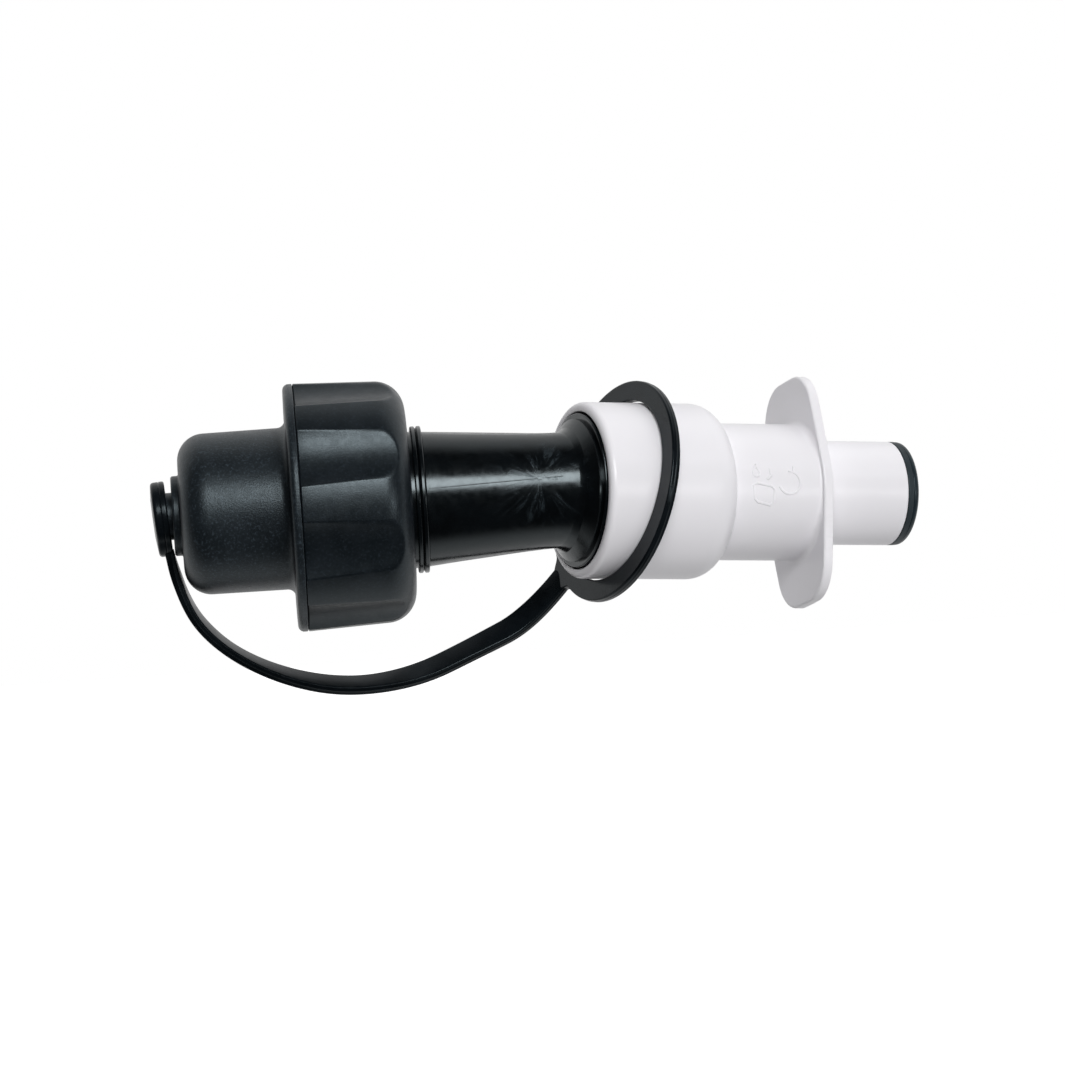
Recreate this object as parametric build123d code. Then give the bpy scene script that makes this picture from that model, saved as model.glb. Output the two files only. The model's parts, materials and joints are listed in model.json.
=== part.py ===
from build123d import *
from math import radians, tan
import os

# No-spill filler spout for a fuel can, with its storage cap on a tether.
#
# Millimetres. The origin is on the coupling nut's axis, where the thread for the can begins inside
# the nut's mouth. +X runs along the nut towards the spout's tip, and +Z is up while the tether
# hangs below. The spout bends at an elbow, and everything past the elbow is drawn along its own
# axis, called s, and placed by tip_frame().

# ---- Edge roundings ------------------------------------------------------------------------------
EDGE_FINE = 0.2
EDGE_SMALL = 0.3
EDGE_MEDIUM = 0.4
EDGE_SOFT = 0.5
EDGE_ROUND = 0.6
BEYOND = 1.0  # how far a cutting shape reaches past the face that it cuts

# ---- Coupling nut --------------------------------------------------------------------------------
NUT_RADIUS = 31.0  # at the mouth
NUT_FAR_RADIUS = 30.25  # before the shoulder's rounding, because of the moulding draft
NUT_LENGTH = 27.5
NUT_SHOULDER = 7.5
FLUTES = 8
FLUTE_RADIUS = 21.0
FLUTE_DEPTH = 2.4
NUT_MOUTH = -7.0
CAP_SEAT_RADIUS = 24.4  # wider step between the mouth and the thread, for the storage cap's plug
CAN_THREAD_RADIUS = 22.9
CAN_THREAD_LENGTH = 13.0
RELIEF_RADIUS = 23.6
RELIEF_END = 17.6
NUT_NECK_HOLE = 17.5

# ---- Storage cap and its tether post -------------------------------------------------------------
CAP_GAP = 0.1  # between the cap's flange and the nut's mouth
CAP_FLANGE_RADIUS = 31.0
CAP_FLANGE = 2.4
CAP_FLANGE_ROUND = 1.5
CAP_FLANGE_FILLET = 2.0  # where the dome rises from it
CAP_DOME_RADIUS = 20.25
CAP_DOME_END = -36.9
CAP_DOME_ROUND = 6.8
CAP_WALL = 1.9
CAP_PLUG_RADIUS = 24.1
CAP_PLUG_BORE = 21.9
CAP_PLUG_END = -1.3
CAP_SEAL_THICKNESS = 1.25
CAP_SEAL_PLAY = 0.1
CAP_DOME_DRAFT = 0.15
BOSS_RADIUS = 10.0
BOSS_HEIGHT = 2.0
POST_RADIUS = 5.9
POST_HEIGHT = 2.85  # between the boss and the head
POST_HEAD_RADIUS = 7.4
POST_HEAD = 0.8

# ---- Tether --------------------------------------------------------------------------------------
EYELET_RADIUS = 8.8  # the eyelet is a button that is snapped over the post's head
EYELET_HOLE = 6.3
EYELET_TILT = 4.0
EYELET_LIP_END = 2.15  # these four are counted from the middle of the post's head
EYELET_CAVITY = 0.95  # each way
EYELET_RIM = -1.3
EYELET_TIP = -1.75
EYELET_CAVITY_RADIUS = 7.7
EYELET_CROWN_RADIUS = 4.5
EYELET_CROWN_ROUND = 3.0
EYELET_RIM_ROUND = 0.9
STRAP_WIDTH = 6.4
STRAP_THICKNESS = 2.4
RING_RADIUS = 28.35
RING_HOLE = 23.3
RING_THICKNESS = 2.3
RING_S = 10.6  # its centre, along the tip's axis
RING_DROP = 0.15  # it hangs loosely on the collar
RING_NORMAL = Vector(0.86, 0.43, -0.278)
RING_TAB_DIRECTION = Vector(-0.484, 0.509, -0.712)  # from the ring's centre to the strap
RING_TAB_ROOT = 26.7  # from the ring's centre
RING_TAB_END = 30.8
RING_TAB_MARGIN = 0.4  # wider than the strap, on each side
STRAP_ROUTE = [
    (-40.4, 0.0, -8.4),
    (-38.2, 0.0, -21.0),
    (-29.6, 0.8, -33.0),
    (-15.3, 3.6, -41.6),
    (1.7, 8.0, -46.0),
    (19.3, 13.2, -44.6),
    (35.2, 17.5, -38.2),
    (49.6, 20.0, -31.9),
    (58.4, 18.4, -22.1),
]
STRAP_SPLIT_RUN = 4  # the halves meet in the middle of this run, counted from 0 at the cap
ARC_SHARE = 0.45  # of the shorter run, taken by each arc

# ---- Neck ----------------------------------------------------------------------------------------
INLET_FLANGE_RADIUS = 22.2
INLET_FLANGE_START = 15.1
INLET_FLANGE_END = 17.4
NECK_ROOT_RADIUS = 17.1  # where the nut turns on it
NECK_CONE_START = 24.2
NECK_CONE_RADIUS = 16.9
NECK_WAIST_X = 53.0
NECK_WAIST_RADIUS = 14.6
NECK_END_RADIUS = 14.2
NECK_BORE = 14.0
NECK_END_BORE = 11.9
NECK_STRAIGHT_END = 68.5  # before the flange cuts it
NECK_CUT = -1.5  # where the straight part ends within the elbow flange, along s
ELBOW_X = 62.5
ELBOW_ANGLE = 20.0
ELBOW_ROLL = 12.0  # the bend's plane, turned about +X
ELBOW_DROP = 0.4  # the tip's axis passes this far below the neck's
ELBOW_FLANGE_RADIUS = 19.35
ELBOW_FLANGE_FACE = 2.6
ELBOW_FLANGE_START = -4.8
ELBOW_FLANGE_TOP = 12.6
ELBOW_FILLET = 2.5
RETAINER_START = 21.5
RETAINER_GROOVE = 16.5
RETAINER_RADIUS = 18.4
RETAINER_LINE_DEPTH = 0.6  # the groove round its middle
RETAINER_LINE_HALF = 0.35
GASKET_THICKNESS = 1.4
GASKET_HOLE = 15.0
WIPER_BORE = 17.9
WIPER_START = -0.5
WIPER_END = 1.3
WIPER_CUT_START = -3.5  # where the step for the wiper ring starts to cut the flange's cone

# ---- Guide tube, seals, spring and valve, along s ------------------------------------------------
GUIDE_RADIUS = 15.1
GUIDE_BORE = 12.9
GUIDE_BASE_RADIUS = 18.9
GUIDE_BASE = 2.1
GUIDE_END = 50.7
BASE_ORING_CENTRE = 16.6
BASE_ORING_SECTION = 0.75  # radius, as for the sliding seal
SLIDING_SEAL_S = 41.5
SLIDING_SEAL_FLOOR = 13.9
SLIDING_SEAL_SECTION = 0.6
ORING_ROOM = 0.1  # the grooves are this much wider
ORING_LIFT = 0.02  # off the groove's floor
SPRING_MEAN_RADIUS = 17.4
SPRING_WIRE = 1.8
SPRING_TURNS = 5.5
SPRING_PLAY = 0.1  # at each end
SEAT_THICKNESS = 1.0
SEAT_PLAY = 0.15  # inside the collar
SEAT_BORE = 15.5
TUBE_RADIUS = 4.0
TUBE_BORE = 2.6
TUBE_START = 18.4  # along X, inside the neck's inlet
TUBE_END = 87.1  # along s
TUBE_BEND_RADIUS = 40.0
SPIDER_START = 44.0
SPIDER_END = 50.2
SPIDER_HUB = 6.2
SPIDER_RIM = 1.2
SPIDER_VANES = 3
SPIDER_VANE = 1.6
REAR_SPIDER_START = 18.6
REAR_SPIDER_LENGTH = 4.0
REAR_SPIDER_PLAY = 0.1  # between its hub and the vent tube
CLIP_GROOVE = 3.5
CLIP_RADIUS = 5.8
CLIP_THICKNESS = 0.8
CLIP_GAP = 5.0  # the opening that it is pushed on through
SEAL_START = 85.7
SEAL_END = 87.2
SEAL_RADIUS = 13.2
SEAL_BORE = 9.4
HEAD_RADIUS = 13.15
HEAD_END = 88.8
HEAD_ROUND = 1.1
PLUG_START = 82.2
PLUG_CONE = 3.0  # its taper, along and across

# ---- Slide sleeve, along s -----------------------------------------------------------------------
COLLAR_RADIUS = 22.15
COLLAR_BORE = 19.75
COLLAR_LIP_ROUND = 1.6
COLLAR_END = 29.4
SHOULDER_ROUND = 7.0
SLEEVE_CAVITY_END = 30.6
SEAT_LEDGE_RADIUS = 16.9
MID_RADIUS = 17.3
MID_BORE = 15.2
MID_BORE_START = 35.5
MID_BORE_END = 60.1
WING_START = 59.6
WING_THICKNESS = 2.5
WING_CENTRE_RADIUS = 18.5
WING_CORNER_RADIUS = 10.5
WING_CORNER_ACROSS = 3.9
WING_CORNER_ALONG = 18.5
WING_EDGE_ROUND = 0.6
MID_FILLET = 0.5
TIP_FILLET = 1.4
TIP_RADIUS = 13.2
TIP_BORE = 11.3
TIP_END = 85.6


def tip_frame():
    """The elbow's centre, with X along the tip's axis s and Z across the bend's plane."""
    return Pos(ELBOW_X, 0, -ELBOW_DROP) * Rot(X=-ELBOW_ROLL) * Rot(Z=ELBOW_ANGLE)


def turned(*corners):
    """A solid of revolution about X. Each corner is (x, r) or (x, r, rounding)."""
    points = [(corner[0], corner[1]) for corner in corners]
    roundings = [corner[2] if len(corner) > 2 else 0 for corner in corners]
    outline = FilletPolyline(*points, radius=roundings, close=True)
    return revolve(make_face(outline), Axis.X)


def ring(x0, x1, bore, radius, rounding=0):
    """A ring about X, with its outer edges rounded."""
    return turned((x0, bore), (x0, radius, rounding), (x1, radius, rounding), (x1, bore))


def o_ring(x, centre_radius, section_radius):
    """An O-ring about X, with its section's centre at the given radius."""
    section = Pos(x, centre_radius, 0) * Circle(section_radius)
    return revolve(section, Axis.X)


def across(x, radius):
    """A disc of the given radius that stands square to X."""
    return Plane(origin=(x, 0, 0), z_dir=(1, 0, 0)) * Circle(radius)


def round_edge(body, x, radius):
    """The round edges of a body about X that lie at x and have the given radius."""
    circles = body.edges().filter_by(GeomType.CIRCLE)
    return circles.filter_by(lambda edge: abs(edge.arc_center.X - x) + abs(edge.radius - radius) < 0.01)


def spider(x0, x1, rim_radius, bore):
    """A rim and a hub about X, joined by vanes."""
    rim = ring(x0, x1, rim_radius - SPIDER_RIM, rim_radius)
    hub = ring(x0, x1, bore, SPIDER_HUB)
    outer_end = rim_radius - SPIDER_RIM / 2
    inner_end = (SPIDER_HUB + bore) / 2
    vane = Box(x1 - x0, outer_end - inner_end, SPIDER_VANE)
    vane = Pos((x0 + x1) / 2, (outer_end + inner_end) / 2, 0) * vane
    body = rim + hub
    for turn in range(SPIDER_VANES):
        body += Rot(X=360 / SPIDER_VANES * turn) * vane
    return body


# ---- Storage cap group ---------------------------------------------------------------------------
def cap_shell():
    flange_near = NUT_MOUTH - CAP_GAP
    flange_far = flange_near - CAP_FLANGE
    boss = CAP_DOME_END - BOSS_HEIGHT
    head = boss - POST_HEIGHT
    tip = head - POST_HEAD
    return turned(
        (CAP_PLUG_END, CAP_PLUG_BORE),
        (CAP_PLUG_END, CAP_PLUG_RADIUS),
        (flange_near, CAP_PLUG_RADIUS),
        (flange_near, CAP_FLANGE_RADIUS, EDGE_SMALL),
        (flange_far, CAP_FLANGE_RADIUS, CAP_FLANGE_ROUND),
        (flange_far, CAP_DOME_RADIUS, CAP_FLANGE_FILLET),
        (CAP_DOME_END, CAP_DOME_RADIUS - CAP_DOME_DRAFT, CAP_DOME_ROUND),
        (CAP_DOME_END, BOSS_RADIUS, EDGE_MEDIUM),
        (boss, BOSS_RADIUS, EDGE_ROUND),
        (boss, POST_RADIUS),
        (head, POST_RADIUS),
        (head, POST_HEAD_RADIUS, EDGE_SMALL),
        (tip, POST_HEAD_RADIUS, EDGE_SMALL),
        (tip, 0),
        (CAP_DOME_END + CAP_WALL, 0),
        (CAP_DOME_END + CAP_WALL, CAP_DOME_RADIUS - CAP_WALL, CAP_DOME_ROUND - CAP_WALL),
        (flange_near, CAP_DOME_RADIUS - CAP_WALL),
        (flange_near, CAP_PLUG_BORE),
    )


def cap_seal():
    outside = CAP_PLUG_RADIUS - CAP_SEAL_PLAY
    return ring(CAP_PLUG_END, CAP_PLUG_END + CAP_SEAL_THICKNESS, CAP_PLUG_BORE, outside, EDGE_FINE)


def eyelet_frame():
    return Pos(CAP_DOME_END - BOSS_HEIGHT - POST_HEIGHT - POST_HEAD / 2, 0, 0) * Rot(Y=-EYELET_TILT)


def tether_eyelet():
    return eyelet_frame() * turned(
        (EYELET_LIP_END, EYELET_HOLE),
        (EYELET_LIP_END, EYELET_RADIUS, EDGE_SOFT),
        (EYELET_RIM, EYELET_RADIUS, EYELET_RIM_ROUND),
        (EYELET_TIP, EYELET_CROWN_RADIUS, EYELET_CROWN_ROUND),
        (EYELET_TIP, 0),
        (-EYELET_CAVITY, 0),
        (-EYELET_CAVITY, EYELET_CAVITY_RADIUS, EDGE_FINE),
        (EYELET_CAVITY, EYELET_CAVITY_RADIUS, EDGE_FINE),
        (EYELET_CAVITY, EYELET_HOLE),
    )


# ---- Tether ring and strap -----------------------------------------------------------------------
def ring_frame():
    """The ring's centre, with X along its normal and Y towards the strap's tab."""
    centre = Pos(0, 0, -RING_DROP) * tip_frame() * Pos(RING_S, 0, 0)
    normal = RING_NORMAL.normalized()
    side = RING_TAB_DIRECTION - normal * RING_TAB_DIRECTION.dot(normal)
    upright = normal.cross(side.normalized())
    return Plane(origin=centre.position, x_dir=normal, z_dir=upright).location


def tether_ring():
    half = RING_THICKNESS / 2
    hoop = turned(
        (-half, RING_HOLE, EDGE_SMALL),
        (-half, RING_RADIUS, EDGE_SOFT),
        (half, RING_RADIUS, EDGE_SOFT),
        (half, RING_HOLE, EDGE_SMALL),
    )
    tab_width = STRAP_WIDTH + 2 * RING_TAB_MARGIN
    tab = Box(RING_THICKNESS, RING_TAB_END - RING_TAB_ROOT, tab_width)
    tab = Pos(0, (RING_TAB_ROOT + RING_TAB_END) / 2, 0) * tab
    return ring_frame() * (hoop + tab)


def strap_radii(points):
    """The largest arc that fits each corner of the strap's route."""
    radii = []
    for before, corner, after in zip(points, points[1:], points[2:]):
        first, second = corner - before, after - corner
        turn = radians(first.get_angle(second))
        radii.append(ARC_SHARE * min(first.length, second.length) / tan(turn / 2))
    return radii


def strap_halves():
    """The flat strap along its route, cut across in the middle of one run."""
    points = [Vector(*point) for point in STRAP_ROUTE]
    radii = strap_radii(points)
    path = FilletPolyline(*points, radius=radii)
    start = Plane(origin=points[0], x_dir=(0, 1, 0), z_dir=points[1] - points[0])
    strap = sweep(start * Rectangle(STRAP_WIDTH, STRAP_THICKNESS), path=path)
    share = strap.volume / (STRAP_WIDTH * STRAP_THICKNESS * path.length)
    print("strap radii:", [round(radius, 1) for radius in radii])
    print(f"strap: {path.length:.1f} mm long, {share:.3f} of section times length")
    before, after = points[STRAP_SPLIT_RUN], points[STRAP_SPLIT_RUN + 1]
    cut = Plane(origin=(before + after) * 0.5, z_dir=after - before)
    room = eyelet_frame() * ring(EYELET_TIP - BEYOND, EYELET_LIP_END + BEYOND, 0, EYELET_RADIUS)
    ring_half = split(strap, bisect_by=cut, keep=Keep.TOP) - tether_ring()
    cap_half = split(strap, bisect_by=cut, keep=Keep.BOTTOM) - room
    return cap_half, ring_half


# ---- Coupling nut --------------------------------------------------------------------------------
def coupling_nut():
    far = NUT_MOUTH + NUT_LENGTH
    body = turned(
        (NUT_MOUTH, CAP_SEAT_RADIUS, EDGE_MEDIUM),
        (NUT_MOUTH, NUT_RADIUS, EDGE_MEDIUM),
        (far, NUT_FAR_RADIUS, NUT_SHOULDER),
        (far, NUT_NECK_HOLE, EDGE_MEDIUM),
        (RELIEF_END, NUT_NECK_HOLE),
        (RELIEF_END, RELIEF_RADIUS),
        (CAN_THREAD_LENGTH, RELIEF_RADIUS),
        (CAN_THREAD_LENGTH, CAN_THREAD_RADIUS),
        (0, CAN_THREAD_RADIUS),
        (0, CAP_SEAT_RADIUS),
    )
    offset = NUT_RADIUS - FLUTE_DEPTH + FLUTE_RADIUS
    cutter = Pos(0, 0, offset) * extrude(across(NUT_MOUTH - BEYOND, FLUTE_RADIUS), NUT_LENGTH + 2 * BEYOND)
    for index in range(FLUTES):
        body -= Rot(X=360 / FLUTES * (index + 1 / 2)) * cutter
    return body


# ---- Neck group ----------------------------------------------------------------------------------
def neck_outside():
    straight = turned(
        (INLET_FLANGE_START, 0),
        (INLET_FLANGE_START, INLET_FLANGE_RADIUS, EDGE_SMALL),
        (INLET_FLANGE_END, INLET_FLANGE_RADIUS, EDGE_SMALL),
        (INLET_FLANGE_END, NECK_ROOT_RADIUS),
        (RETAINER_START, NECK_ROOT_RADIUS),
        (RETAINER_START, RETAINER_GROOVE),
        (NECK_CONE_START, RETAINER_GROOVE),
        (NECK_CONE_START, NECK_CONE_RADIUS, EDGE_FINE),
        (NECK_WAIST_X, NECK_WAIST_RADIUS),
        (NECK_STRAIGHT_END, NECK_END_RADIUS),
        (NECK_STRAIGHT_END, 0),
    )
    beyond = tip_frame() * extrude(across(NECK_CUT, ELBOW_X), ELBOW_X)
    flange = tip_frame() * turned(
        (ELBOW_FLANGE_START, 0),
        (ELBOW_FLANGE_START, ELBOW_FLANGE_TOP),
        (WIPER_START, ELBOW_FLANGE_RADIUS),
        (ELBOW_FLANGE_FACE, ELBOW_FLANGE_RADIUS),
        (ELBOW_FLANGE_FACE, 0),
    )
    body = Rot(X=-ELBOW_ROLL) * straight - beyond + flange
    junction = body.edges().filter_by(GeomType.BSPLINE)
    return fillet(junction, ELBOW_FILLET)


def neck_inside():
    straight = turned(
        (INLET_FLANGE_START - BEYOND, 0),
        (INLET_FLANGE_START - BEYOND, NECK_BORE),
        (NECK_CONE_START, NECK_BORE),
        (NECK_WAIST_X, NECK_END_BORE),
        (ELBOW_X, NECK_END_BORE),
        (ELBOW_X, 0),
    )
    past = tip_frame() * extrude(across(0, NECK_END_BORE), ELBOW_FLANGE_FACE + BEYOND)
    return straight + Pos(ELBOW_X, 0, 0) * Sphere(NECK_END_BORE) + past


def spout_neck():
    wiper_seat = tip_frame() * ring(WIPER_CUT_START, WIPER_END, WIPER_BORE, ELBOW_FLANGE_RADIUS + BEYOND)
    return neck_outside() - neck_inside() - wiper_seat


def neck_wiper_ring():
    return tip_frame() * ring(WIPER_START, WIPER_END, WIPER_BORE, ELBOW_FLANGE_RADIUS, EDGE_MEDIUM)


def nut_retaining_ring():
    middle = (RETAINER_START + NECK_CONE_START) / 2
    return turned(
        (RETAINER_START, RETAINER_GROOVE),
        (RETAINER_START, RETAINER_RADIUS, EDGE_MEDIUM),
        (middle - RETAINER_LINE_HALF, RETAINER_RADIUS, EDGE_FINE),
        (middle, RETAINER_RADIUS - RETAINER_LINE_DEPTH),
        (middle + RETAINER_LINE_HALF, RETAINER_RADIUS, EDGE_FINE),
        (NECK_CONE_START, RETAINER_RADIUS, EDGE_MEDIUM),
        (NECK_CONE_START, RETAINER_GROOVE),
    )


def can_gasket():
    start = INLET_FLANGE_START - GASKET_THICKNESS
    return ring(start, INLET_FLANGE_START, GASKET_HOLE, INLET_FLANGE_RADIUS, EDGE_FINE)


# ---- Guide tube, vent tube and valve -------------------------------------------------------------
def guide_tube():
    start = ELBOW_FLANGE_FACE
    body = turned(
        (start, GUIDE_BORE),
        (start, GUIDE_BASE_RADIUS, EDGE_FINE),
        (start + GUIDE_BASE, GUIDE_BASE_RADIUS, EDGE_MEDIUM),
        (start + GUIDE_BASE, GUIDE_RADIUS, EDGE_SOFT),
        (GUIDE_END, GUIDE_RADIUS, EDGE_SOFT),
        (GUIDE_END, GUIDE_BORE),
    )
    gland = BASE_ORING_SECTION + ORING_ROOM / 2
    body -= ring(start - BEYOND, start + 2 * gland, BASE_ORING_CENTRE - gland, BASE_ORING_CENTRE + gland)
    width = SLIDING_SEAL_SECTION + ORING_ROOM
    body -= ring(SLIDING_SEAL_S - width, SLIDING_SEAL_S + width, SLIDING_SEAL_FLOOR, GUIDE_RADIUS + BEYOND)
    return tip_frame() * body


def guide_tube_oring():
    start = ELBOW_FLANGE_FACE + BASE_ORING_SECTION
    return tip_frame() * o_ring(start, BASE_ORING_CENTRE, BASE_ORING_SECTION)


def sliding_seal():
    centre = SLIDING_SEAL_FLOOR + SLIDING_SEAL_SECTION + ORING_LIFT
    return tip_frame() * o_ring(SLIDING_SEAL_S, centre, SLIDING_SEAL_SECTION)


def vent_tube():
    elbow = tip_frame()
    far_end = (elbow * Pos(TUBE_END, 0, 0)).position
    route = FilletPolyline((TUBE_START, 0, 0), elbow.position, far_end, radius=TUBE_BEND_RADIUS)
    start = Plane(origin=route @ 0, z_dir=route % 0)
    tube = sweep(start * (Circle(TUBE_RADIUS) - Circle(TUBE_BORE)), path=route)
    groove = ring(SPIDER_START - CLIP_THICKNESS, SPIDER_START, CLIP_GROOVE, TUBE_RADIUS + BEYOND)
    return tube - elbow * groove


def vent_tube_clip():
    start = SPIDER_START - CLIP_THICKNESS
    gap = Pos(start, CLIP_RADIUS, 0) * Box(4 * CLIP_THICKNESS, 2 * CLIP_RADIUS, CLIP_GAP)
    return tip_frame() * (ring(start, SPIDER_START, CLIP_GROOVE, CLIP_RADIUS, EDGE_FINE) - gap)


def vent_tube_spider():
    return tip_frame() * spider(SPIDER_START, SPIDER_END, GUIDE_BORE, TUBE_RADIUS)


def vent_tube_rear_spider():
    end = REAR_SPIDER_START + REAR_SPIDER_LENGTH
    return spider(REAR_SPIDER_START, end, NECK_BORE, TUBE_RADIUS + REAR_SPIDER_PLAY)


def valve_head():
    return tip_frame() * turned(
        (PLUG_START, TUBE_RADIUS),
        (PLUG_START, SEAL_BORE - PLUG_CONE, EDGE_SOFT),
        (PLUG_START + PLUG_CONE, SEAL_BORE),
        (SEAL_END, SEAL_BORE),
        (SEAL_END, HEAD_RADIUS, EDGE_FINE),
        (HEAD_END, HEAD_RADIUS, HEAD_ROUND),
        (HEAD_END, TUBE_BORE, EDGE_SMALL),
        (TUBE_END, TUBE_BORE),
        (TUBE_END, TUBE_RADIUS),
    )


def valve_seal():
    return tip_frame() * ring(SEAL_START, SEAL_END, SEAL_BORE, SEAL_RADIUS, EDGE_FINE)


def return_spring():
    start = ELBOW_FLANGE_FACE + GUIDE_BASE + SPRING_WIRE / 2 + SPRING_PLAY
    end = SLEEVE_CAVITY_END - SEAT_THICKNESS - SPRING_WIRE / 2 - SPRING_PLAY
    coil = Helix(pitch=(end - start) / SPRING_TURNS, height=end - start, radius=SPRING_MEAN_RADIUS)
    section = Plane(origin=coil @ 0, z_dir=coil % 0) * Circle(SPRING_WIRE / 2)
    spring = sweep(section, path=coil, is_frenet=True)
    return tip_frame() * Pos(start, 0, 0) * Rot(Y=90) * spring


def spring_seat():
    start = SLEEVE_CAVITY_END - SEAT_THICKNESS
    return tip_frame() * ring(start, SLEEVE_CAVITY_END, SEAT_BORE, COLLAR_BORE - SEAT_PLAY, EDGE_FINE)


# ---- Slide sleeve --------------------------------------------------------------------------------
def finger_wings():
    """The plate's outline: a round middle and two rounded lobes, long across the bend's plane."""
    plate = Plane(origin=(WING_START, 0, 0), x_dir=(0, 1, 0), z_dir=(1, 0, 0))
    circles = [Circle(WING_CENTRE_RADIUS)]
    for across_sign in (-1, 1):
        for along_sign in (-1, 1):
            place = Pos(across_sign * WING_CORNER_ACROSS, along_sign * WING_CORNER_ALONG)
            circles.append(place * Circle(WING_CORNER_RADIUS))
    outline = make_hull([circle.edge() for circle in circles])
    wings = extrude(plate * outline, WING_THICKNESS)
    return fillet(wings.faces().sort_by(Axis.X)[0].edges(), WING_EDGE_ROUND)


def sleeve_body():
    """The collar, its rounded shoulder and the tip tube. The shoulder ends inside the mid tube."""
    return turned(
        (0, COLLAR_BORE, EDGE_MEDIUM),
        (0, COLLAR_RADIUS, COLLAR_LIP_ROUND),
        (COLLAR_END + SHOULDER_ROUND, COLLAR_RADIUS, SHOULDER_ROUND),
        (COLLAR_END + SHOULDER_ROUND, TIP_RADIUS),
        (TIP_END, TIP_RADIUS, EDGE_SMALL),
        (TIP_END, TIP_BORE),
        (SLEEVE_CAVITY_END, TIP_BORE),
        (SLEEVE_CAVITY_END, COLLAR_BORE),
    )


def slide_sleeve():
    mid_tube = turned(
        (SLEEVE_CAVITY_END, 0),
        (SLEEVE_CAVITY_END, MID_RADIUS),
        (WING_START + BEYOND, MID_RADIUS),
        (WING_START + BEYOND, 0),
    )
    hollow = turned(
        (SLEEVE_CAVITY_END, 0),
        (SLEEVE_CAVITY_END, SEAT_LEDGE_RADIUS),
        (MID_BORE_START, MID_BORE),
        (MID_BORE_END, MID_BORE),
        (MID_BORE_END, TIP_BORE),
        (TIP_END + BEYOND, TIP_BORE),
        (TIP_END + BEYOND, 0),
    )
    body = sleeve_body() + mid_tube + finger_wings() - hollow
    body = fillet(round_edge(body, WING_START, MID_RADIUS), MID_FILLET)
    body = fillet(round_edge(body, WING_START + WING_THICKNESS, TIP_RADIUS), TIP_FILLET)
    return tip_frame() * body


NODES = {
    "cap_shell": cap_shell,
    "cap_seal": cap_seal,
    "tether_eyelet": tether_eyelet,
    "tether_ring": tether_ring,
    "coupling_nut": coupling_nut,
    "spout_neck": spout_neck,
    "neck_wiper_ring": neck_wiper_ring,
    "nut_retaining_ring": nut_retaining_ring,
    "can_gasket": can_gasket,
    "guide_tube": guide_tube,
    "guide_tube_oring": guide_tube_oring,
    "sliding_seal": sliding_seal,
    "vent_tube": vent_tube,
    "vent_tube_clip": vent_tube_clip,
    "vent_tube_spider": vent_tube_spider,
    "vent_tube_rear_spider": vent_tube_rear_spider,
    "valve_head": valve_head,
    "valve_seal": valve_seal,
    "return_spring": return_spring,
    "spring_seat": spring_seat,
    "slide_sleeve": slide_sleeve,
}


def main():
    os.makedirs("parts", exist_ok=True)
    solids = {name: make() for name, make in NODES.items()}
    cap_half, ring_half = strap_halves()
    solids["tether_strap_cap_half"] = cap_half
    solids["tether_strap_ring_half"] = ring_half
    for name, solid in solids.items():
        solid.label = name
        export_step(solid, f"parts/{name}.step")


main()
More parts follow.
